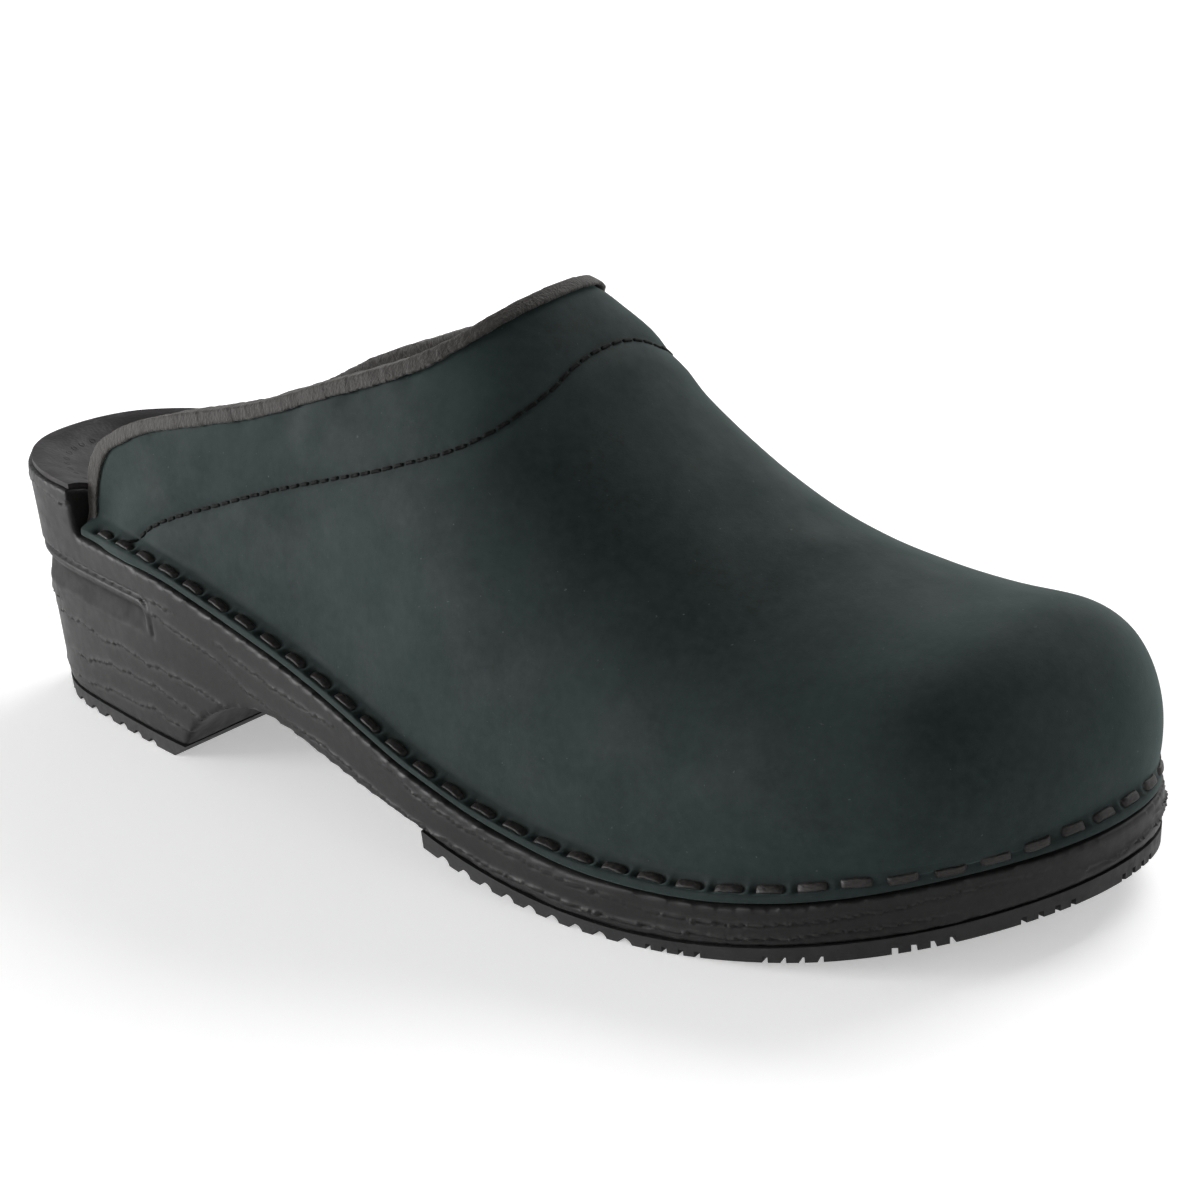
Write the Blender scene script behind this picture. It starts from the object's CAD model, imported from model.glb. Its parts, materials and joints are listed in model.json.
"""Looks of the open-back clog: nubuck upper, moulded wood-grain sole, threads and binding.

Every piece is shaped on its CAD node, from rays cast at it or from a copy of it with
an even mesh, so the piece lies where the node lies. Lengths are in metres, and MM turns
millimetres into metres. +X is the toe, -Y the outer side of the foot, +Z up.
"""

import json
import math

import bmesh
import bpy
import numpy as np
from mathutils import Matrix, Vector, noise
from mathutils.bvhtree import BVHTree
from mathutils.kdtree import KDTree

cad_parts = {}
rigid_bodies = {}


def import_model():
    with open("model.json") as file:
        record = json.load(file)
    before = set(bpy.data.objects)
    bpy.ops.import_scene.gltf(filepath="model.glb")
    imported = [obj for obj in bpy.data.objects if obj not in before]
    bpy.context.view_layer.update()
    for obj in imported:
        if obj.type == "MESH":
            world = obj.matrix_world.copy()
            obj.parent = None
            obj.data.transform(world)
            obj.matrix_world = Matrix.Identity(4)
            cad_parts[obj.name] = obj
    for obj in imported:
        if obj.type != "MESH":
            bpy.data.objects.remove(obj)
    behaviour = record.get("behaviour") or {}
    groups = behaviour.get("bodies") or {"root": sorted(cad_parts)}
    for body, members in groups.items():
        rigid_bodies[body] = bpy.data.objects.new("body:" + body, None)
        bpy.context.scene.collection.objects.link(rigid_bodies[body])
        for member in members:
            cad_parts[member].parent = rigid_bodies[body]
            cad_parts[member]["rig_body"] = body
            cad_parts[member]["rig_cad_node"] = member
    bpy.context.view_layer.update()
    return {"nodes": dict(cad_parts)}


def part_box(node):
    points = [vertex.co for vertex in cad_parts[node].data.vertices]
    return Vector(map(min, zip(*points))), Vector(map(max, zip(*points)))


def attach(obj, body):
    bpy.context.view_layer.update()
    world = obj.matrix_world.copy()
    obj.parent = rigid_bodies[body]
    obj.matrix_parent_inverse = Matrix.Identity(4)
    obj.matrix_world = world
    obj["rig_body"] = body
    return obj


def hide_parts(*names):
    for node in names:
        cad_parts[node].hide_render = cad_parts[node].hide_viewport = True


MM = 0.001
UP = Vector((0, 0, 1))
RNG = np.random.default_rng(7)

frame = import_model()
sole_low, sole_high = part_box("sole_unit")
upper_low, upper_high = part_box("upper")
MIDDLE_Y = 4 * MM           # the forepart leans to the inner side of the centre line
HIGH_ABOVE = 0.2            # rays down onto the sole start here
EDGE_REACH = 0.09           # more than the way from a middle point to the sole's edge
EDGE_ERROR = 0.02 * MM      # how closely that edge is found
JUST_INSIDE = 1.2 * MM      # from the edge in to the ledge


# ------------------------------------------------------------------- reading the frame

def tree_of(mesh):
    return BVHTree.FromPolygons(
        [v.co.copy() for v in mesh.vertices], [tuple(p.vertices) for p in mesh.polygons]
    )


trees = {
    name: tree_of(frame["nodes"][name].data)
    for name in ("sole_unit", "upper", "upper_lining", "sock_lining", "topline_binding")
}


def islands(name):
    """Vertices of each separate solid of a node, as arrays."""
    work = bmesh.new()
    work.from_mesh(frame["nodes"][name].data)
    bmesh.ops.remove_doubles(work, verts=work.verts, dist=1e-6)
    seen = set()
    groups = []
    for start in work.verts:
        if start.index in seen:
            continue
        seen.add(start.index)
        stack, group = [start], []
        while stack:
            vert = stack.pop()
            group.append(vert.co.copy())
            for edge in vert.link_edges:
                other = edge.other_vert(vert)
                if other.index not in seen:
                    seen.add(other.index)
                    stack.append(other)
        groups.append(np.array(group))
    work.free()
    return groups


def bars_of(name):
    """Middle, direction and length of each bar-shaped solid of a node."""
    bars = []
    for points in islands(name):
        middle = points.mean(0)
        _, _, axes = np.linalg.svd(points - middle, full_matrices=False)
        along = axes[0] if axes[0][0] >= 0 else -axes[0]
        reach = (points - middle) @ along
        bars.append((Vector(middle), Vector(along), float(reach.max() - reach.min())))
    return bars


def sole_below(x, y):
    """Top of the sole under a point of the plan, or None outside its edge."""
    return trees["sole_unit"].ray_cast(Vector((x, y, HIGH_ABOVE)), -UP)[0]


def edge_from(x, y, direction, reach=EDGE_REACH):
    """The sole's edge in plan, going from an inner point in a direction."""
    inside, outside = 0.0, reach
    while outside - inside > EDGE_ERROR:
        middle = (inside + outside) / 2
        if sole_below(x + direction[0] * middle, y + direction[1] * middle):
            inside = middle
        else:
            outside = middle
    return Vector((x + direction[0] * inside, y + direction[1] * inside, 0))


def ledge_height(x, y):
    """Height of the sole's top just inside its edge at a point of the plan."""
    inner_y = y + math.copysign(JUST_INSIDE, MIDDLE_Y - y)
    hit = sole_below(x, inner_y) or sole_below(x - JUST_INSIDE, inner_y)
    return hit.z if hit else sole_high.z


# ------------------------------------------------------------------------------ meshes

def new_object(name, verts, faces):
    mesh = bpy.data.meshes.new(name)
    mesh.from_pydata([tuple(v) for v in verts], [], faces)
    mesh.update()
    mesh.polygons.foreach_set("use_smooth", [True] * len(mesh.polygons))
    piece = bpy.data.objects.new(name, mesh)
    bpy.context.scene.collection.objects.link(piece)
    return piece


def apply_modifiers(piece):
    graph = bpy.context.evaluated_depsgraph_get()
    made = bpy.data.meshes.new_from_object(piece.evaluated_get(graph))
    piece.modifiers.clear()
    piece.data = made


def subdivide(piece, levels):
    modifier = piece.modifiers.new("smooth", "SUBSURF")
    modifier.levels = levels
    modifier.render_levels = levels
    apply_modifiers(piece)


def remeshed(name, source, voxel, smoothing):
    """A copy of a CAD node with an even mesh, fit for fine displacement."""
    piece = frame["nodes"][source].copy()
    piece.data = piece.data.copy()
    piece.name = name
    piece.parent = None
    piece.data.materials.clear()
    for key in ("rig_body", "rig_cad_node"):      # the copy is a piece, not a CAD node
        if key in piece:
            del piece[key]
    bpy.context.scene.collection.objects.link(piece)
    weld = piece.modifiers.new("weld", "WELD")
    weld.merge_threshold = 1e-6
    remesh = piece.modifiers.new("remesh", "REMESH")
    remesh.mode = "VOXEL"
    remesh.voxel_size = voxel
    soft = piece.modifiers.new("soft", "SMOOTH")
    soft.factor = 0.5
    soft.iterations = smoothing
    apply_modifiers(piece)
    piece.data.polygons.foreach_set("use_smooth", [True] * len(piece.data.polygons))
    return piece


def positions(piece):
    co = np.empty(len(piece.data.vertices) * 3, np.float64)
    piece.data.vertices.foreach_get("co", co)
    return co.reshape(-1, 3)


def normals(piece):
    co = np.empty(len(piece.data.vertices) * 3, np.float64)
    piece.data.vertex_normals.foreach_get("vector", co)
    return co.reshape(-1, 3)


def set_positions(piece, co):
    piece.data.vertices.foreach_set("co", np.ascontiguousarray(co, np.float32).ravel())
    piece.data.update()


def displace(piece, amount):
    set_positions(piece, positions(piece) + normals(piece) * np.asarray(amount)[:, None])


def store(piece, name, values):
    """Keeps one number per vertex, for the material to read."""
    layer = piece.data.attributes.new(name, "FLOAT", "POINT")
    layer.data.foreach_set("value", np.asarray(values, np.float32))


def join_rings(faces, rings):
    """Adds faces between each closed ring of points and the next."""
    for a, b in zip(rings, rings[1:]):
        for s in range(len(a)):
            t = (s + 1) % len(a)
            faces.append((a[s], a[t], b[t], b[s]))


def smoothstep(low, high, x):
    """0 up to low, 1 from high on, and a smooth rise between them."""
    t = np.clip((x - low) / (high - low), 0, 1)
    return t * t * (3 - 2 * t)


WAVE_VALUES = 512           # after this many wavelengths the noise repeats
WAVE_START = 97.3           # so x = 0 falls between two of the values


def wave_noise(x, length, seed):
    """Smooth noise along a line, from -1 to 1, with the given wavelength."""
    values = np.random.default_rng(seed).uniform(-1, 1, WAVE_VALUES)
    at = np.asarray(x) / length + WAVE_START
    low = np.floor(at).astype(int)
    t = at - low
    t = t * t * (3 - 2 * t)
    return values[low % WAVE_VALUES] * (1 - t) + values[(low + 1) % WAVE_VALUES] * t


def cloud(co, length, seed):
    """Smooth noise in space, from about -1 to 1."""
    shift = Vector((seed * 13.1, seed * 7.7, seed * 3.3))
    return np.array([noise.noise(Vector(p) / length + shift) for p in co])


def finish_piece(piece, material, slot, *replaced):
    piece.data.materials.clear()
    piece.data.materials.append(material)
    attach(piece, "root")
    if replaced:
        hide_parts(*replaced)
    return piece


# --------------------------------------------------------------------------- materials

class Look:
    """A procedural material on one Principled shader, built from object coordinates."""

    def __init__(self, name, roughness, specular):
        self.material = bpy.data.materials.new(name)
        self.material.use_nodes = True
        self.nodes = self.material.node_tree.nodes
        self.links = self.material.node_tree.links
        self.shader = self.nodes["Principled BSDF"]
        self.shader.inputs["Roughness"].default_value = roughness
        self.shader.inputs["Specular IOR Level"].default_value = specular
        self.place = self.nodes.new("ShaderNodeTexCoord").outputs["Object"]
        self.normal = None

    def noise(self, size, detail=3.0, stretch=(1, 1, 1), roughness=0.5):
        """Noise with features of the given size, in metres."""
        mapping = self.nodes.new("ShaderNodeMapping")
        mapping.inputs["Scale"].default_value = [1 / s for s in stretch]
        self.links.new(self.place, mapping.inputs["Vector"])
        texture = self.nodes.new("ShaderNodeTexNoise")
        texture.inputs["Scale"].default_value = 1 / size
        texture.inputs["Detail"].default_value = detail
        texture.inputs["Roughness"].default_value = roughness
        self.links.new(mapping.outputs["Vector"], texture.inputs["Vector"])
        return texture.outputs["Fac"]

    def cells(self, size):
        texture = self.nodes.new("ShaderNodeTexVoronoi")
        texture.inputs["Scale"].default_value = 1 / size
        self.links.new(self.place, texture.inputs["Vector"])
        return texture.outputs["Distance"]

    def stored(self, name):
        """A number that the mesh holds at each vertex."""
        node = self.nodes.new("ShaderNodeAttribute")
        node.attribute_name = name
        return node.outputs["Fac"]

    def spread(self, value, low, high, out_low=0.0, out_high=1.0):
        """Maps the stretch from low to high onto the stretch from out_low to out_high."""
        remap = self.nodes.new("ShaderNodeMapRange")
        remap.inputs["From Min"].default_value = low
        remap.inputs["From Max"].default_value = high
        remap.inputs["To Min"].default_value = out_low
        remap.inputs["To Max"].default_value = out_high
        self.links.new(value, remap.inputs["Value"])
        return remap.outputs["Result"]

    def mix(self, share, one, two):
        """Colour between two others, each a colour or the output of a node."""
        node = self.nodes.new("ShaderNodeMix")
        node.data_type = "RGBA"
        self.links.new(share, node.inputs["Factor"])
        first, second = [s for s in node.inputs if s.type == "RGBA"]
        for socket, value in ((first, one), (second, two)):
            if isinstance(value, tuple):
                socket.default_value = (*value, 1)
            else:
                self.links.new(value, socket)
        return [s for s in node.outputs if s.type == "RGBA"][0]

    def plus(self, value, share, other):
        """A value with a share of another one added."""
        node = self.nodes.new("ShaderNodeMath")
        node.operation = "MULTIPLY_ADD"
        node.inputs[1].default_value = share
        self.links.new(other, node.inputs[0])
        self.links.new(value, node.inputs[2])
        return node.outputs[0]

    def colour(self, value):
        self.links.new(value, self.shader.inputs["Base Color"])

    def roughness(self, value):
        self.links.new(value, self.shader.inputs["Roughness"])

    def bump(self, height, distance, strength=1.0):
        node = self.nodes.new("ShaderNodeBump")
        node.inputs["Distance"].default_value = distance
        node.inputs["Strength"].default_value = strength
        self.links.new(height, node.inputs["Height"])
        if self.normal:
            self.links.new(self.normal, node.inputs["Normal"])
        self.normal = node.outputs["Normal"]
        self.links.new(self.normal, self.shader.inputs["Normal"])

    def sheen(self, weight, roughness, tint):
        self.shader.inputs["Sheen Weight"].default_value = weight
        self.shader.inputs["Sheen Roughness"].default_value = roughness
        self.shader.inputs["Sheen Tint"].default_value = (*tint, 1)


def nubuck():
    look = Look("nubuck", 0.82, 0.13)
    clouds = look.spread(look.noise(30 * MM, 4), 0.32, 0.68)
    base = look.mix(clouds, (0.0062, 0.0102, 0.0098), (0.0114, 0.0188, 0.0181))
    mottle = look.spread(look.noise(2.2 * MM, 5, roughness=0.65), 0.35, 0.7)
    base = look.mix(look.spread(mottle, 0, 1, 0, 0.35), base, (0.021, 0.032, 0.030))
    fleck = look.spread(look.noise(0.9 * MM, 2), 0.74, 0.79, 0, 0.35)
    base = look.mix(fleck, base, (0.10, 0.12, 0.11))
    base = look.mix(look.spread(look.stored("pressed"), 0, 1, 0, 0.8), base,
                    (0.004, 0.005, 0.005))
    look.colour(base)
    look.roughness(look.spread(look.noise(14 * MM, 3), 0.3, 0.7, 0.70, 0.86))
    look.sheen(0.12, 0.45, (0.56, 0.82, 0.78))
    look.bump(look.noise(5 * MM, 4), 0.08 * MM, 0.5)
    look.bump(look.noise(0.35 * MM, 3, (1.6, 1.6, 1.0), 0.7), 0.05 * MM, 0.7)
    return look.material


def moulded_sole():
    look = Look("moulded_sole", 0.46, 0.18)
    clouds = look.spread(look.noise(30 * MM, 3), 0.3, 0.7)
    base = look.mix(clouds, (0.0056, 0.0055, 0.0054), (0.0105, 0.0103, 0.0100))
    specks = look.spread(look.noise(1.1 * MM, 4), 0.45, 0.75, 0, 0.35)
    base = look.mix(specks, base, (0.020, 0.0196, 0.019))
    base = look.mix(look.spread(look.stored("recess"), 0, 1, 0, 0.8), base,
                    (0.0025, 0.0022, 0.0025))
    base = look.mix(look.spread(look.stored("crease"), 0, 1, 0, 0.6), base,
                    (0.002, 0.002, 0.002))
    base = look.mix(look.spread(look.stored("ridge"), 0, 1, 0, 0.55), base,
                    (0.040, 0.0395, 0.0385))
    look.colour(base)
    dull = look.spread(look.noise(3 * MM, 4), 0.3, 0.7, 0.42, 0.56)
    look.roughness(look.plus(dull, 0.18, look.stored("recess")))
    look.bump(look.noise(2.4 * MM, 4, (3.0, 3.0, 0.8)), 0.08 * MM, 0.5)
    look.bump(look.noise(0.28 * MM, 2), 0.025 * MM, 0.6)
    return look.material


def tread_rubber():
    look = Look("tread_rubber", 0.6, 0.25)
    base = look.mix(look.spread(look.noise(8 * MM, 4), 0.3, 0.7),
                    (0.009, 0.009, 0.009), (0.016, 0.016, 0.016))
    look.colour(base)
    look.roughness(look.spread(look.noise(2 * MM, 3), 0.3, 0.7, 0.52, 0.72))
    look.bump(look.noise(1.2 * MM, 4), 0.12 * MM, 0.7)
    return look.material


def smooth_leather(name, dark, light, roughness):
    look = Look(name, roughness, 0.22)
    look.colour(look.mix(look.spread(look.noise(16 * MM, 4), 0.3, 0.7), dark, light))
    look.roughness(look.spread(look.noise(5 * MM, 3), 0.3, 0.7, roughness - 0.07,
                               roughness + 0.08))
    look.bump(look.spread(look.cells(0.9 * MM), 0, 0.8), 0.06 * MM, 0.6)
    look.bump(look.noise(3.5 * MM, 4), 0.10 * MM, 0.5)
    return look.material


def woven_binding():
    look = Look("woven_binding", 0.7, 0.35)
    threads = look.spread(look.noise(0.6 * MM, 3, (1.0, 1.0, 2.2), 0.6), 0.38, 0.66)
    base = look.mix(threads, (0.007, 0.006, 0.0054), (0.024, 0.0214, 0.0193))
    look.colour(look.mix(look.spread(look.noise(9 * MM, 3), 0.35, 0.7, 0, 0.6), base,
                         (0.012, 0.0105, 0.009)))
    look.sheen(0.10, 0.5, (0.75, 0.70, 0.65))
    look.bump(threads, 0.14 * MM, 0.9)
    return look.material


def waxed_thread(name, dark, light, roughness, specular):
    look = Look(name, roughness, specular)
    strands = look.spread(look.noise(0.35 * MM, 2, (2.6, 2.6, 1.0)), 0.35, 0.65)
    look.colour(look.mix(strands, dark, light))
    look.bump(strands, 0.05 * MM, 0.8)
    return look.material


def plain_fibre(name, dark, light, size):
    look = Look(name, 0.85, 0.25)
    fibres = look.noise(size, 4, (2.5, 2.5, 1.0), 0.65)
    look.colour(look.mix(look.spread(fibres, 0.35, 0.65), dark, light))
    look.bump(fibres, 0.15 * MM, 0.8)
    return look.material


def satin_steel():
    look = Look("satin_steel", 0.35, 0.5)
    look.shader.inputs["Metallic"].default_value = 1.0
    lines = look.noise(0.4 * MM, 3, (30, 1, 1))
    look.colour(look.mix(look.spread(lines, 0.3, 0.7), (0.42, 0.42, 0.43), (0.6, 0.6, 0.61)))
    look.roughness(look.spread(lines, 0.3, 0.7, 0.28, 0.45))
    look.bump(lines, 0.02 * MM, 0.5)
    return look.material


FLOOR_GLOW = 0.40


def pale_floor():
    """A white sheet with a little light of its own, like a light table."""
    look = Look("pale_floor", 0.8, 0.1)
    look.colour(look.mix(look.spread(look.noise(0.5, 2), 0.4, 0.6),
                         (0.86, 0.86, 0.86), (0.885, 0.885, 0.885)))
    look.shader.inputs["Emission Color"].default_value = (1, 1, 1, 1)
    look.shader.inputs["Emission Strength"].default_value = FLOOR_GLOW
    return look.material


# ------------------------------------------------------------------ hoops over the foot

REAR = upper_low.x + 1.0 * MM       # first hoop
TURN = upper_high.x - 84.6 * MM     # here the hoops start to lean towards the toe
LAST = upper_high.x - 17.6 * MM     # feet of the last hoop
UPRIGHT = 62                        # hoops up to the turn
LEANING = 32                        # hoops past it
ACROSS = 34                         # steps of a hoop, from side to side
FOOT_RISE = 4.5 * MM                # feet of the hoops, above the ledge
LAST_LEAN = math.radians(9)         # the last hoop's top points ahead, this much upwards
RAY_START = 0.13                    # from a hoop's centre, for rays from outside
RAY_REACH = 0.125                   # less, so that such a ray stops before the centre
LEAST_FACING = 0.05                 # a surface nearly along the ray isn't taken


def hoop_frames():
    """Centre of each hoop and the direction of its top, from rear to toe."""
    stations = []
    for i in range(UPRIGHT):
        stations.append((REAR + (TURN - REAR) * i / UPRIGHT, math.pi / 2))
    for i in range(LEANING + 1):
        share = i / LEANING
        lean = math.pi / 2 + (LAST_LEAN - math.pi / 2) * share
        stations.append((TURN + (LAST - TURN) * share, lean))
    frames = []
    for x, lean in stations:
        sides = [edge_from(x, MIDDLE_Y, (0, side)) for side in (-1, 1)]
        middle = (sides[0].y + sides[1].y) / 2
        height = max(ledge_height(x, side.y) for side in sides) + FOOT_RISE
        centre = Vector((x, middle, height))
        frames.append((centre, Vector((math.cos(lean), 0, math.sin(lean)))))
    return frames


hoops = hoop_frames()


def cast_hoops(tree, outside):
    """Points where the hoops' rays meet a node, from outside or from within."""
    rows = []
    for centre, forward in hoops:
        row = []
        for j in range(ACROSS + 1):
            angle = math.pi * j / ACROSS
            ray = Vector((0, -math.cos(angle), 0)) + forward * math.sin(angle)
            start = centre + ray * RAY_START if outside else centre
            way = -ray if outside else ray
            point, normal = tree.ray_cast(start, way, RAY_REACH)[:2]
            good = point is not None and -normal.dot(way) > LEAST_FACING
            row.append(point if good else None)
        rows.append(row)
    return rows


def fill_gaps(rows):
    """Carries the net on past the topline, so that it can be cut there cleanly."""
    across, along = len(rows[0]), len(rows)
    while any(p is None for row in rows for p in row):
        added = {}
        for i in range(along):
            for j in range(across):
                if rows[i][j] is not None:
                    continue
                guesses = []
                for di, dj in ((1, 0), (-1, 0), (0, 1), (0, -1)):
                    a, b = i + di, j + dj
                    c, d = i + 2 * di, j + 2 * dj
                    if 0 <= c < along and 0 <= d < across and rows[a][b] and rows[c][d]:
                        guesses.append(rows[a][b] * 2 - rows[c][d])
                if guesses:
                    added[i, j] = sum(guesses, Vector()) / len(guesses)
        if not added:
            break
        for (i, j), p in added.items():
            rows[i][j] = p
    return rows


def foot_line(rows):
    """The net's boundary along the sole: outer side, round the toe, inner side."""
    last = len(rows) - 1
    path = [(i, 0) for i in range(last)]
    path += [(last, j) for j in range(ACROSS + 1)]
    path += [(i, ACROSS) for i in range(last - 1, -1, -1)]
    return path


# Cross-section of the turned-out edge, in two parts. On top it is a share of the way from
# the wall to the rim, and a height above the ledge in mm; round the rim and under it, a
# distance in from the sole's edge and a height, both in mm.
FLANGE_TOP = [(0.20, 3.75), (0.42, 3.15), (0.66, 2.78), (0.86, 2.60)]
FLANGE_RIM = [(0.75, 2.45), (0.45, 1.95), (0.38, 0.85), (0.70, 0.12), (3.0, 0.05)]
ON_LEDGE = 1.5 * MM         # from the edge in to where the ledge's height is read


def rim_places(rows):
    """Foot of the wall, sole's edge, way inwards and ledge height along the flange."""
    places = []
    for i, j in foot_line(rows):
        foot, centre = rows[i][j], hoops[i][0]
        if i == len(rows) - 1:
            away = Vector((foot.x - centre.x, foot.y - centre.y, 0)).normalized()
        else:
            away = Vector((0, -1 if j == 0 else 1, 0))
        edge = edge_from(centre.x, centre.y, away)
        inward = Vector((centre.x - edge.x, centre.y - edge.y, 0)).normalized()
        base = sole_below(*(edge + inward * ON_LEDGE).xy)
        places.append((foot, edge, inward, base.z))
    return places


def add_flange(verts, faces, rows, index):
    """Rings of points from the feet of the hoops out over the ledge."""
    places = rim_places(rows)
    before = [index[p] for p in foot_line(rows)]
    section = [(share, None, height) for share, height in FLANGE_TOP]
    section += [(None, inset, height) for inset, height in FLANGE_RIM]
    for share, inset, height in section:
        ring = []
        for foot, edge, inward, base in places:
            if inset is None:
                rim = edge + inward * FLANGE_RIM[0][0] * MM
                flat = Vector((foot.x, foot.y, 0)).lerp(rim, share)
            else:
                flat = edge + inward * inset * MM
            ring.append(len(verts))
            verts.append(Vector((flat.x, flat.y, base + height * MM)))
        for k in range(len(ring) - 1):
            faces.append((before[k], before[k + 1], ring[k + 1], ring[k]))
        before = ring


def net(rows):
    verts, faces, index = [], [], {}
    for i, row in enumerate(rows):
        for j, p in enumerate(row):
            if p is not None:
                index[i, j] = len(verts)
                verts.append(p)
    for i in range(len(rows) - 1):
        for j in range(ACROSS):
            corners = [(i, j), (i, j + 1), (i + 1, j + 1), (i + 1, j)]
            if all(c in index for c in corners):
                faces.append(tuple(index[c] for c in corners))
    return verts, faces, index


SLIDE = 0.12 * MM           # sideways distance that puts a point past the node's edge
FAR = 1.6 * MM              # a point this far from the node is past it too
NEAR_BINDING = 3.0 * MM
BEHIND = 0.7                # least share of the gap that lies towards the heel


def sole_below_wall(place):
    """Height of the ledge beside a point of the upper."""
    side = -1 if place.y < MIDDLE_Y else 1
    return ledge_height(place.x, edge_from(place.x, MIDDLE_Y, (0, side)).y)


def trim_to(piece, tree):
    """Cuts a net off at the topline of its CAD node and fits its edge to that line."""
    past = {}
    for i, (place, normal) in enumerate(zip(positions(piece), normals(piece))):
        place, normal = Vector(place), Vector(normal)
        near = tree.find_nearest(place)[0]
        gap = place - near
        if (gap - normal * gap.dot(normal)).length < SLIDE:
            continue
        by_binding = trees["topline_binding"].find_nearest(place, NEAR_BINDING)[0]
        above_fillet = place.z > sole_below_wall(place) + FOOT_RISE
        behind = gap.x < -BEHIND * gap.length
        if gap.length > FAR or (by_binding and (above_fillet or behind)):
            past[i] = near
    work = bmesh.new()
    work.from_mesh(piece.data)
    lost = [face for face in work.faces if all(v.index in past for v in face.verts)]
    for vert in work.verts:
        if vert.index in past:
            vert.co = past[vert.index]
    bmesh.ops.delete(work, geom=lost, context="FACES")
    bmesh.ops.recalc_face_normals(work, faces=work.faces)
    work.to_mesh(piece.data)
    work.free()


# ------------------------------------------------------------------------------ pieces

welt_bars = bars_of("welt_stitching")
seam_bars = bars_of("seam_stitching")


def nearest_distance(co, points):
    tree = KDTree(len(points))
    for i, p in enumerate(points):
        tree.insert(p, i)
    tree.balance()
    return np.array([tree.find(p)[2] for p in co])


def along_bars(bars, steps):
    """Points spread along each bar, end to end."""
    points = []
    for middle, along, length in bars:
        for k in range(steps + 1):
            points.append(middle + along * length * (k / steps - 0.5))
    return points


def bar_gaps(bars, longest):
    """Points half way between one bar and the next."""
    points = []
    for one in bars:
        ahead = [b[0] for b in bars if 0 < (b[0] - one[0]).length < longest]
        points += [(one[0] + other) / 2 for other in ahead]
    return points


def bell(distance, width):
    return np.exp(-(distance / width) ** 2)


# Relief of the leather in mm: how far out, and the half width of the stretch.
SEAM_GROOVE = (-0.55, 0.9)
PADDED = (0.50, 5.0, 4.0)       # the middle number is the swell's distance from the seam
PULLED_IN = (-0.40, 1.2)        # along each welt stitch
PULLED_DOWN = (-0.45, 1.0)      # at the ends of each welt stitch
SQUEEZED_UP = (0.15, 1.6)       # between two welt stitches
LONGEST_GAP = 10 * MM           # from one welt stitch to the next
LEATHER_WAVES = [(0.26, 36 * MM, 1), (0.08, 11 * MM, 2)]    # amount in mm, wavelength, seed
WITHIN_WALL = -0.25             # all over, in mm, to keep the swells inside the CAD upper
BINDING_FADE = (0.5, 6.0)       # the swells grow between these distances from the tape, in mm
BINDING_REACH = 9 * MM          # past this the distance from the tape doesn't matter


def make_upper():
    """The nubuck vamp with its turned-out edge, pulled in along both seams."""
    rows = fill_gaps(cast_hoops(trees["upper"], True))
    verts, faces, index = net(rows)
    add_flange(verts, faces, rows, index)
    piece = new_object("nubuck_upper", verts, faces)
    subdivide(piece, 2)
    trim_to(piece, trees["upper"])
    co = positions(piece)
    to_seam = nearest_distance(co, along_bars(seam_bars, 4)) / MM
    to_welt = nearest_distance(co, along_bars(welt_bars, 8)) / MM
    to_hole = nearest_distance(co, along_bars(welt_bars, 1)) / MM
    to_gap = nearest_distance(co, bar_gaps(welt_bars, LONGEST_GAP)) / MM
    groove = SEAM_GROOVE[0] * bell(to_seam, SEAM_GROOVE[1])
    puff = PADDED[0] * bell(to_seam - PADDED[1], PADDED[2])
    pull = PULLED_IN[0] * bell(to_welt, PULLED_IN[1])
    pull += PULLED_DOWN[0] * bell(to_hole, PULLED_DOWN[1])
    pull += SQUEEZED_UP[0] * bell(to_gap, SQUEEZED_UP[1])
    drift = sum(mm * cloud(co, length, seed) for mm, length, seed in LEATHER_WAVES) + WITHIN_WALL
    find = trees["topline_binding"].find_nearest
    to_binding = np.array([find(Vector(p), BINDING_REACH)[3] or BINDING_REACH for p in co])
    free = smoothstep(*BINDING_FADE, to_binding / MM)
    displace(piece, (groove + pull + (puff + drift) * free) * MM)
    marks = [bell(to_seam, 0.75), bell(to_hole, 1.3), 0.9 * bell(to_welt, 1.6)]
    store(piece, "pressed", np.max(marks, axis=0))
    return finish_piece(piece, nubuck_look, "nubuck", "upper")


def make_lining():
    rows = fill_gaps(cast_hoops(trees["upper_lining"], False))
    verts, faces, _ = net(rows)
    piece = new_object("inner_lining", verts, faces)
    subdivide(piece, 1)
    trim_to(piece, trees["upper_lining"])
    displace(piece, -0.12 * MM * cloud(positions(piece), 22 * MM, 5))
    return finish_piece(piece, lining_look, "lining", "upper_lining")


TAPE_VOXEL = 0.42 * MM
TAPE_SWELL = 0.12           # how far the tape stands out all over, in mm
GATHER = (0.75, 1.5, 2.0)   # rise, height above the lowest point and half width, in mm


def make_binding():
    """Tape folded over the topline, with fine cross wrinkles and gathered lower ends."""
    piece = remeshed("topline_tape", "topline_binding", TAPE_VOXEL, 6)
    co = positions(piece)
    along = co[:, 0] + 0.8 * co[:, 2]
    wrinkles = 1.3 * wave_noise(along, 1.7 * MM, 11) + 0.8 * wave_noise(along, 1.0 * MM, 12)
    gather = GATHER[0] * bell((co[:, 2] - co[:, 2].min()) / MM - GATHER[1], GATHER[2])
    drift = 0.10 * cloud(co, 6 * MM, 3)
    displace(piece, (0.07 * wrinkles + drift + TAPE_SWELL + gather) * MM)
    return finish_piece(piece, binding_look, "binding", "topline_binding")


OUTLINE_POINTS = 720
OUTLINE_REACH = 0.2         # more than the way from the middle to the toe or the heel


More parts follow.
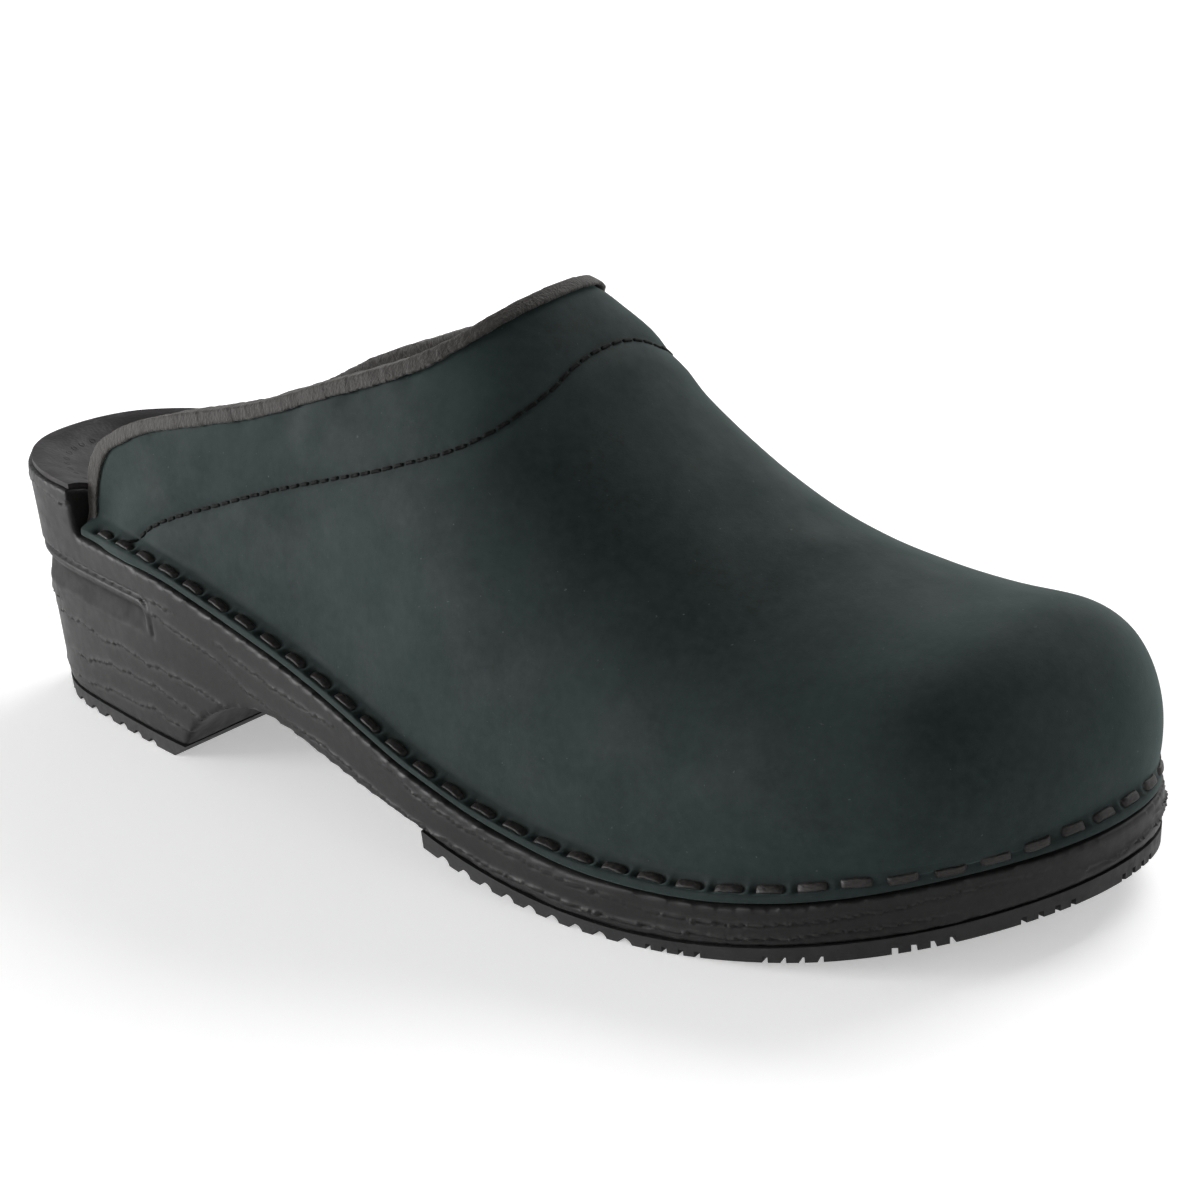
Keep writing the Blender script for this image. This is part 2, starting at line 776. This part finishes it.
def outline():
    """Closed line of the sole's edge, starting at the back of the heel."""
    points = []
    x = (sole_low.x + sole_high.x) / 2
    for i in range(OUTLINE_POINTS):
        angle = math.pi + 2 * math.pi * i / OUTLINE_POINTS
        way = (math.cos(angle), math.sin(angle))
        points.append(edge_from(x, MIDDLE_Y, way, OUTLINE_REACH))
    return points


# The sole's wall.
HEEL_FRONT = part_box("heel_outsole")[1].x
HEEL_CENTRE = 32 * MM       # from the heel's front back to the middle of its round end
REAR_TOP = ledge_height(HEEL_FRONT - 20 * MM, sole_low.y + 22 * MM)     # ledge at the heel
DRAFT = 0.085               # taper of the wall
WALL_DEPTH = 6.0 * MM       # the wall lies within this distance of the edge in plan
SOLE_VOXEL = 0.95 * MM
STEEP = 0.5                 # faces get finer where their normal is less upright than this
WALL_STEEP = 0.6            # points are on the wall where theirs is less upright than this
WALL_FACING = 0.4           # and its outward part is more than this
EVENED_OVER = 3             # points of the outline, each way
RIPPLE = 0.05 * MM          # unevenness all over the sole

# The wood grain on it.
GRAIN_PITCH = 6.3 * MM      # from one line of the grain to the next, at the heel
GRAIN_LINES = 12
LOWEST_GRAIN = 1.5 * MM
GRAIN_DRIFT = [             # how each line wanders: amount in mm, wavelength, first seed
    (2.4, 46 * MM, 20), (0.60, 10 * MM, 40), (0.42, 3.0 * MM, 60), (0.22, 1.5 * MM, 70),
]
GRAIN_BREAKS = (27 * MM, 90)            # length of the stretches where a line fades, first seed
LIP = (0.44, 0.85)                      # height and width of a line's lip, in mm
DIP = (0.40, 0.55)                      # depth and width of the crease under it, in mm
GRAIN_STRENGTH = (0.9, 1.2)             # at the heel, and what the toe has beyond that
FINER_AHEAD = 1.85                      # the grain is this much closer on the forepart
FINEST_FROM = sole_high.x - 30 * MM
LEVEL_UNTIL = HEEL_FRONT - 25 * MM      # behind this the grain is level
ALONG_LEDGE = HEEL_FRONT + 40 * MM      # ahead of this it follows the ledge
CLEAR_OF_GROUND = (3.6 * MM, 5.4 * MM)  # the grain grows between these heights
GROUND_SLOPE = 0.02                     # they fall by this share of the way to the toe
CLEAR_OF_LEDGE = (1.2 * MM, 3.8 * MM)   # and between these distances from the ledge

# The kick-off band round the heel.
BAND_LOW = 28.5 * MM
BAND_HIGH = 38.6 * MM
BAND_END = HEEL_FRONT - 4.6 * MM
BAND_CORNER = 6.0 * MM                  # radius of the band's upper front corner
BAND_GROOVE = (1.15, 0.8, 0.65)         # depth, distance from the band's edge, half width, in mm
BAND_HOLLOW = 1.2                       # depth of the band's recess, in mm


class Rim:
    """The sole's edge in plan, to place points along it and in from it."""

    def __init__(self):
        self.line, self.top = self.levelled(outline())
        count = len(self.line)
        self.tree = KDTree(count)
        self.length = [0.0]
        self.along = []
        for i, p in enumerate(self.line):
            ahead = self.line[(i + 1) % count] - p
            wide = self.line[(i + 2) % count] - self.line[i - 2]
            self.tree.insert(p, i)
            self.length.append(self.length[-1] + ahead.length)
            self.along.append(wide.normalized())
        self.tree.balance()

    @staticmethod
    def levelled(line):
        """Brings the tapered heel cup's edge in to where it is at the ledge.

        Gives that line and the height of the wall's top at each of its points.
        """
        tops = [ledge_height(p.x, p.y) for p in line]
        centre = Vector((HEEL_FRONT - HEEL_CENTRE, MIDDLE_Y, 0))
        flush = []
        for p, top in zip(line, tops):
            rise = max(top - REAR_TOP, 0.0)
            flush.append(p + (centre - p).normalized() * DRAFT * rise)
        smooth = []
        for i in range(len(flush)):
            near = [flush[(i + k) % len(flush)] for k in range(-EVENED_OVER, EVENED_OVER + 1)]
            smooth.append(sum(near, Vector()) / len(near))
        return smooth, [min(top, REAR_TOP) for top in tops]

    def place(self, co):
        """For each point: length along the rim, distance inwards, outward way, top."""
        rows = []
        for p in co:
            flat = Vector((p[0], p[1], 0))
            i = self.tree.find(flat)[1]
            along, gap = self.along[i], flat - self.line[i]
            inward = Vector((-along.y, along.x, 0))
            rows.append((self.length[i] + gap.dot(along), gap.dot(inward),
                         -inward.x, -inward.y, self.top[i]))
        return np.array(rows)


def refine_wall(piece, rim):
    """Halves the edges of the outer wall's faces."""
    work = bmesh.new()
    work.from_mesh(piece.data)
    edges = set()
    for face in work.faces:
        middle = face.calc_center_median()
        near = rim.tree.find(middle.xy.to_3d())[2] < WALL_DEPTH
        if abs(face.normal.z) < STEEP and near:
            edges.update(face.edges)
    bmesh.ops.subdivide_edges(work, edges=list(edges), cuts=1, use_grid_fill=True)
    bmesh.ops.triangulate(work, faces=[f for f in work.faces if len(f.verts) > 4])
    work.to_mesh(piece.data)
    work.free()
    piece.data.polygons.foreach_set("use_smooth", [True] * len(piece.data.polygons))


def band_relief(x, z, at):
    """Kick-off band at points of the wall: how far out it stands, and how much
    a point belongs to the band, to its dull recess and to the groove along its edge."""
    top, front = (BAND_HIGH - z) / MM, (BAND_END - x) / MM
    radius = BAND_CORNER / MM
    corner = radius - np.hypot(radius - top, radius - front)
    inside = np.where((top < radius) & (front < radius), corner, np.minimum(top, front))
    low = (z - BAND_LOW) / MM + 0.35 * wave_noise(at, 3 * MM, 5)
    member = smoothstep(-0.15, 0.25, inside) * smoothstep(-0.3, 1.1, low)
    groove = BAND_GROOVE[0] * bell(inside - BAND_GROOVE[1], BAND_GROOVE[2])
    groove *= 0.3 + 0.7 * smoothstep(-3, 1, front - top)
    hollow = BAND_HOLLOW * smoothstep(2.2, 4.8, inside) * smoothstep(-1.0, 6.0, low)
    recess = member * smoothstep(2.8, 4.4, inside)
    return -(groove + hollow) * member, member, recess, groove * member


def grain_relief(x, z, at, top):
    """Embossed wood grain: jagged lips, each with a thin crease under it.

    Gives how far out each point of the wall stands, and how much it belongs to a
    crease and to the ridge of a lip.
    """
    bend = smoothstep(LEVEL_UNTIL, ALONG_LEDGE, x)
    closer = 1 + (FINER_AHEAD - 1) * smoothstep(HEEL_FRONT, FINEST_FROM, x)
    level = (1 - bend) * z + bend * (REAR_TOP - closer * (top - z))
    relief, crease, ridge = np.zeros((3, len(x)))
    for k in range(GRAIN_LINES):
        drift = sum(mm * wave_noise(at, length, seed + k) for mm, length, seed in GRAIN_DRIFT)
        off = (level - LOWEST_GRAIN - GRAIN_PITCH * k) / MM - drift
        shown = smoothstep(-0.60, -0.20, wave_noise(at, GRAIN_BREAKS[0], GRAIN_BREAKS[1] + k))
        lip = np.where(off > 0, np.exp(-off / LIP[1]), 0)
        dip = np.where(off > 0, 0, np.exp(off / DIP[1]))
        relief += (LIP[0] * lip - DIP[0] * dip) * shown
        crease += bell(off + 0.45, 0.45) * shown
        ridge += bell(off - 0.25, 0.38) * shown
    return relief, np.clip(crease, 0, 1), np.clip(ridge, 0, 1)


def make_sole():
    """Moulded sole with embossed wood grain and the recessed kick-off band."""
    piece = remeshed("grained_sole", "sole_unit", SOLE_VOXEL, 3)
    rim = Rim()
    refine_wall(piece, rim)
    co, normal = positions(piece), normals(piece)
    steep = np.where(np.abs(normal[:, 2]) < WALL_STEEP)[0]
    places = rim.place(co[steep])
    facing = normal[steep, 0] * places[:, 2] + normal[steep, 1] * places[:, 3]
    on_wall = (places[:, 1] < WALL_DEPTH) & (facing > WALL_FACING)
    wall, places = steep[on_wall], places[on_wall]
    at, inset, out_x, out_y, top = places.T
    x, z = co[wall, 0], co[wall, 2]
    band, member, recess, notch = band_relief(x, z, at)
    grain, crease, ridge = grain_relief(x, z, at, top)
    strength = GRAIN_STRENGTH[0] + GRAIN_STRENGTH[1] * smoothstep(HEEL_FRONT, sole_high.x, x)
    clear = (1 - member) * smoothstep(*CLEAR_OF_GROUND, z + GROUND_SLOPE * x)
    clear *= smoothstep(*CLEAR_OF_LEDGE, np.abs(top - z))
    straighten = np.where(member > 0, (inset - DRAFT * (top - z)) / MM, 0) * member
    move = (straighten + band + grain * clear * strength) * MM
    co[wall, 0] += out_x * move
    co[wall, 1] += out_y * move
    set_positions(piece, co)
    recessed, creased, ridged = np.zeros((3, len(co)))
    recessed[wall] = recess
    ridged[wall] = ridge * clear
    creased[wall] = np.maximum(crease * clear, notch * 0.8)
    store(piece, "recess", recessed)
    store(piece, "crease", creased)
    store(piece, "ridge", ridged)
    displace(piece, RIPPLE * (cloud(co, 9 * MM, 9) - 1))
    return finish_piece(piece, sole_look, "sole_unit", "sole_unit")


THREAD_STEPS = 16
THREAD_SIDES = 16
FLATNESS = 0.65             # under 1, the thread's section is a rounded rectangle
HALF_STITCH = (0.44, 0.49)  # least and greatest, as a share of the CAD stitch's length
SLEW = 0.07                 # greatest slant of a stitch, sideways per length
PLY_RELIEF = 0.06           # two strands twisted together, as a share of the thickness
PLY_TWIST = 5               # radians from the middle to either end
PLUNGE = 9                  # the higher, the closer to its ends a thread goes down
PROBE_HIGH = 4 * MM         # rays onto the leather start this far above a stitch
PROBE_DEEP = 9 * MM         # and are this long


def thread_stitches(name, bars, skin, size, rise, dip, material, node):
    """Waxed threads lying on the leather, each going down through it at both ends."""
    verts, faces = [], []
    steps, sides = THREAD_STEPS, THREAD_SIDES
    width, height = size
    for middle, along, length in bars:
        out = Vector()
        for k in range(-2, 3):
            out += skin.find_nearest(middle + along * length * k / 5)[1]
        out = (out - along * out.dot(along)).normalized()
        side = along.cross(out)
        reach = length * RNG.uniform(*HALF_STITCH)
        slew = RNG.uniform(-SLEW, SLEW)
        turn = RNG.uniform(0, 2 * math.pi)
        path = []
        for k in range(steps + 1):
            t = 2 * k / steps - 1
            flat = middle + along * reach * math.sin(t * math.pi / 2) + side * slew * reach * t
            hit = skin.ray_cast(flat + out * PROBE_HIGH, -out, PROBE_DEEP)[0] or flat
            path.append(hit + out * (rise - dip * abs(t) ** PLUNGE))
        rings = []
        for k, place in enumerate(path):
            t = 2 * k / steps - 1
            way = (path[min(k + 1, steps)] - path[max(k - 1, 0)]).normalized()
            cross = way.cross(side).normalized()
            ring = []
            for s in range(sides):
                a = 2 * math.pi * s / sides
                ply = 1 + PLY_RELIEF * math.cos(2 * a + turn + PLY_TWIST * t)
                ring.append(len(verts))
                over, up = (math.copysign(abs(f) ** FLATNESS, f)
                            for f in (math.cos(a), math.sin(a)))
                verts.append(place + (side * over * width + cross * up * height) * (ply / 2))
            rings.append(ring)
        join_rings(faces, rings)
        faces.append(tuple(rings[0][::-1]))
        faces.append(tuple(rings[-1]))
    piece = new_object(name, verts, faces)
    return finish_piece(piece, material, "thread", node)


HOLE_INSET = 9.0 * MM
HOLE_PITCH = 4.8 * MM
HOLE_RADIUS = 0.70 * MM
HOLE_SIDES = 12
HOLE_SECTION = [(1.25, 0.02), (1.0, 0.10), (0.8, 0.04), (0.45, 0.03)]
ABOVE_SOCK = 0.06           # rays down onto the sock lining start here


def make_perforations():
    """Small punched holes in the sock lining, in a row a little way in from the sole's edge.

    HOLE_SECTION gives the rings of a hole: a share of its radius, and a height above
    the lining in mm.
    """
    line = outline()
    count = len(line)
    verts, faces = [], []
    travelled = 0.0
    for i, p in enumerate(line):
        q = line[(i + 1) % count]
        along = q - p
        travelled += along.length
        if travelled < HOLE_PITCH:
            continue
        travelled = 0.0
        inward = Vector((-along.y, along.x, 0)).normalized()
        spot = p + inward * HOLE_INSET
        start = Vector((spot.x, spot.y, ABOVE_SOCK))
        middle, up = trees["sock_lining"].ray_cast(start, -UP)[:2]
        if middle is None:
            continue
        side = up.cross(Vector((1, 0, 0))).normalized()
        cross = up.cross(side)
        rings = []
        for radius, rise in HOLE_SECTION:
            ring = []
            for s in range(HOLE_SIDES):
                a = 2 * math.pi * s / HOLE_SIDES
                flat = side * math.cos(a) + cross * math.sin(a)
                ring.append(len(verts))
                verts.append(middle + flat * radius * HOLE_RADIUS + up * rise * MM)
            rings.append(ring)
        join_rings(faces, rings)
        faces.append(tuple(rings[-1]))
    piece = new_object("sock_perforations", verts, faces)
    return finish_piece(piece, hole_look, "sock")


# ------------------------------------------------------------------------ stage, lights

def add_light(name, place, target, size, power):
    data = bpy.data.lights.new(name, "AREA")
    data.shape = "RECTANGLE"
    data.size, data.size_y = size
    data.energy = power
    lamp = bpy.data.objects.new(name, data)
    lamp.location = place
    lamp.rotation_euler = (Vector(target) - Vector(place)).to_track_quat("-Z", "Y").to_euler()
    bpy.context.scene.collection.objects.link(lamp)


CAMERA_AZIMUTH = math.radians(42.13)
CAMERA_ELEVATION = math.radians(20.43)
CAMERA_ROLL = math.radians(-3.79)
CAMERA_DISTANCE = 0.9105
CAMERA_TARGET = Vector((-0.0260, 0.0505, 0.0208))
CAMERA_LENS = 120.5


def add_camera():
    data = bpy.data.cameras.new("camera")
    data.lens = CAMERA_LENS
    data.sensor_width = 36
    camera = bpy.data.objects.new("camera", data)
    back = Vector((
        math.sin(CAMERA_AZIMUTH) * math.cos(CAMERA_ELEVATION),
        -math.cos(CAMERA_AZIMUTH) * math.cos(CAMERA_ELEVATION),
        math.sin(CAMERA_ELEVATION),
    ))
    right = Vector((math.cos(CAMERA_AZIMUTH), math.sin(CAMERA_AZIMUTH), 0))
    above = back.cross(right)
    turned = right * math.cos(CAMERA_ROLL) + above * math.sin(CAMERA_ROLL)
    upright = above * math.cos(CAMERA_ROLL) - right * math.sin(CAMERA_ROLL)
    matrix = camera.matrix_world.copy()
    for row in range(3):
        matrix[row][0] = turned[row]
        matrix[row][1] = upright[row]
        matrix[row][2] = back[row]
        matrix[row][3] = (CAMERA_TARGET + back * CAMERA_DISTANCE)[row]
    camera.matrix_world = matrix
    bpy.context.scene.collection.objects.link(camera)
    bpy.context.scene.camera = camera


FLOOR_SIDES = 48
FLOOR_SECTION = [(1.5, 0.0), (2.4, 0.05), (3.0, 0.4), (3.3, 1.2), (3.4, 2.6)]   # radius, height


def add_floor():
    """A pale sheet that runs up far from the object, on every side of it."""
    verts, faces = [], []
    for radius, height in FLOOR_SECTION:
        for s in range(FLOOR_SIDES):
            a = 2 * math.pi * s / FLOOR_SIDES
            verts.append((radius * math.cos(a), radius * math.sin(a), height))
    for r in range(len(FLOOR_SECTION) - 1):
        for s in range(FLOOR_SIDES):
            a, b = r * FLOOR_SIDES + s, r * FLOOR_SIDES + (s + 1) % FLOOR_SIDES
            faces.append((a, a + FLOOR_SIDES, b + FLOOR_SIDES, b))
    faces.append(tuple(range(FLOOR_SIDES)))
    floor = new_object("studio_floor", verts, faces)
    floor.data.materials.append(pale_floor())


WORLD_GLOW = 0.08


def light_the_world():
    world = bpy.data.worlds.new("studio")
    world.use_nodes = True
    shade = world.node_tree.nodes["Background"]
    shade.inputs["Color"].default_value = (1, 1, 1, 1)
    shade.inputs["Strength"].default_value = WORLD_GLOW
    bpy.context.scene.world = world


# -------------------------------------------------------------------------------- build

nubuck_look = nubuck()
sole_look = moulded_sole()
rubber_look = tread_rubber()
sock_look = smooth_leather("sock_leather", (0.010, 0.0085, 0.0094), (0.018, 0.0155, 0.0172), 0.56)
lining_look = smooth_leather("lining_leather", (0.022, 0.020, 0.020), (0.040, 0.037, 0.037), 0.55)
hole_look = smooth_leather("hole_edge", (0.006, 0.006, 0.006), (0.012, 0.011, 0.011), 0.6)
binding_look = woven_binding()
welt_look = waxed_thread("welt_thread", (0.0045, 0.0038, 0.0036), (0.015, 0.0122, 0.011), 0.55, 0.30)
seam_look = waxed_thread("seam_thread", (0.0015, 0.0015, 0.0015), (0.005, 0.005, 0.005), 0.75, 0.10)

CAD_LOOKS = {
    "heel_outsole": rubber_look,
    "forefoot_outsole": rubber_look,
    "shank": satin_steel(),
    "insole_board": plain_fibre("fibre_board", (0.20, 0.14, 0.09), (0.34, 0.26, 0.18), 0.8 * MM),
    "footbed_foam": plain_fibre("footbed_foam", (0.05, 0.05, 0.055), (0.09, 0.09, 0.095), 0.5 * MM),
    "sock_lining": sock_look,
    "instep_padding": plain_fibre("collar_foam", (0.06, 0.06, 0.06), (0.11, 0.11, 0.11), 0.6 * MM),
    "vamp_interlining": plain_fibre("interlining", (0.30, 0.28, 0.24), (0.46, 0.44, 0.4), 0.4 * MM),
    "toe_puff": plain_fibre("toe_puff", (0.40, 0.37, 0.31), (0.56, 0.52, 0.45), 1.2 * MM),
}
for node_name, material in CAD_LOOKS.items():
    mesh = frame["nodes"][node_name].data
    mesh.materials.clear()
    mesh.materials.append(material)

skin = tree_of(make_upper().data)
make_lining()
make_binding()
make_sole()
thread_stitches("welt_threads", welt_bars, skin, (1.85 * MM, 0.90 * MM), 0.26 * MM, 1.8 * MM,
                welt_look, "welt_stitching")
thread_stitches("seam_threads", seam_bars, skin, (0.75 * MM, 0.60 * MM), 0.12 * MM, 0.8 * MM,
                seam_look, "seam_stitching")
make_perforations()

bpy.context.scene.view_settings.view_transform = "Standard"
add_floor()
light_the_world()
add_light("key", (-1.25, -0.95, 0.15), (-0.06, 0, 0.05), (0.8, 0.5), 36)
add_light("back", (0.0, 1.2, 1.1), (0.0, 0, 0.06), (1.2, 0.7), 19)
add_light("fill", (1.3, -0.8, 0.6), (0.05, 0, 0.04), (1.0, 0.8), 0.3)
add_camera()
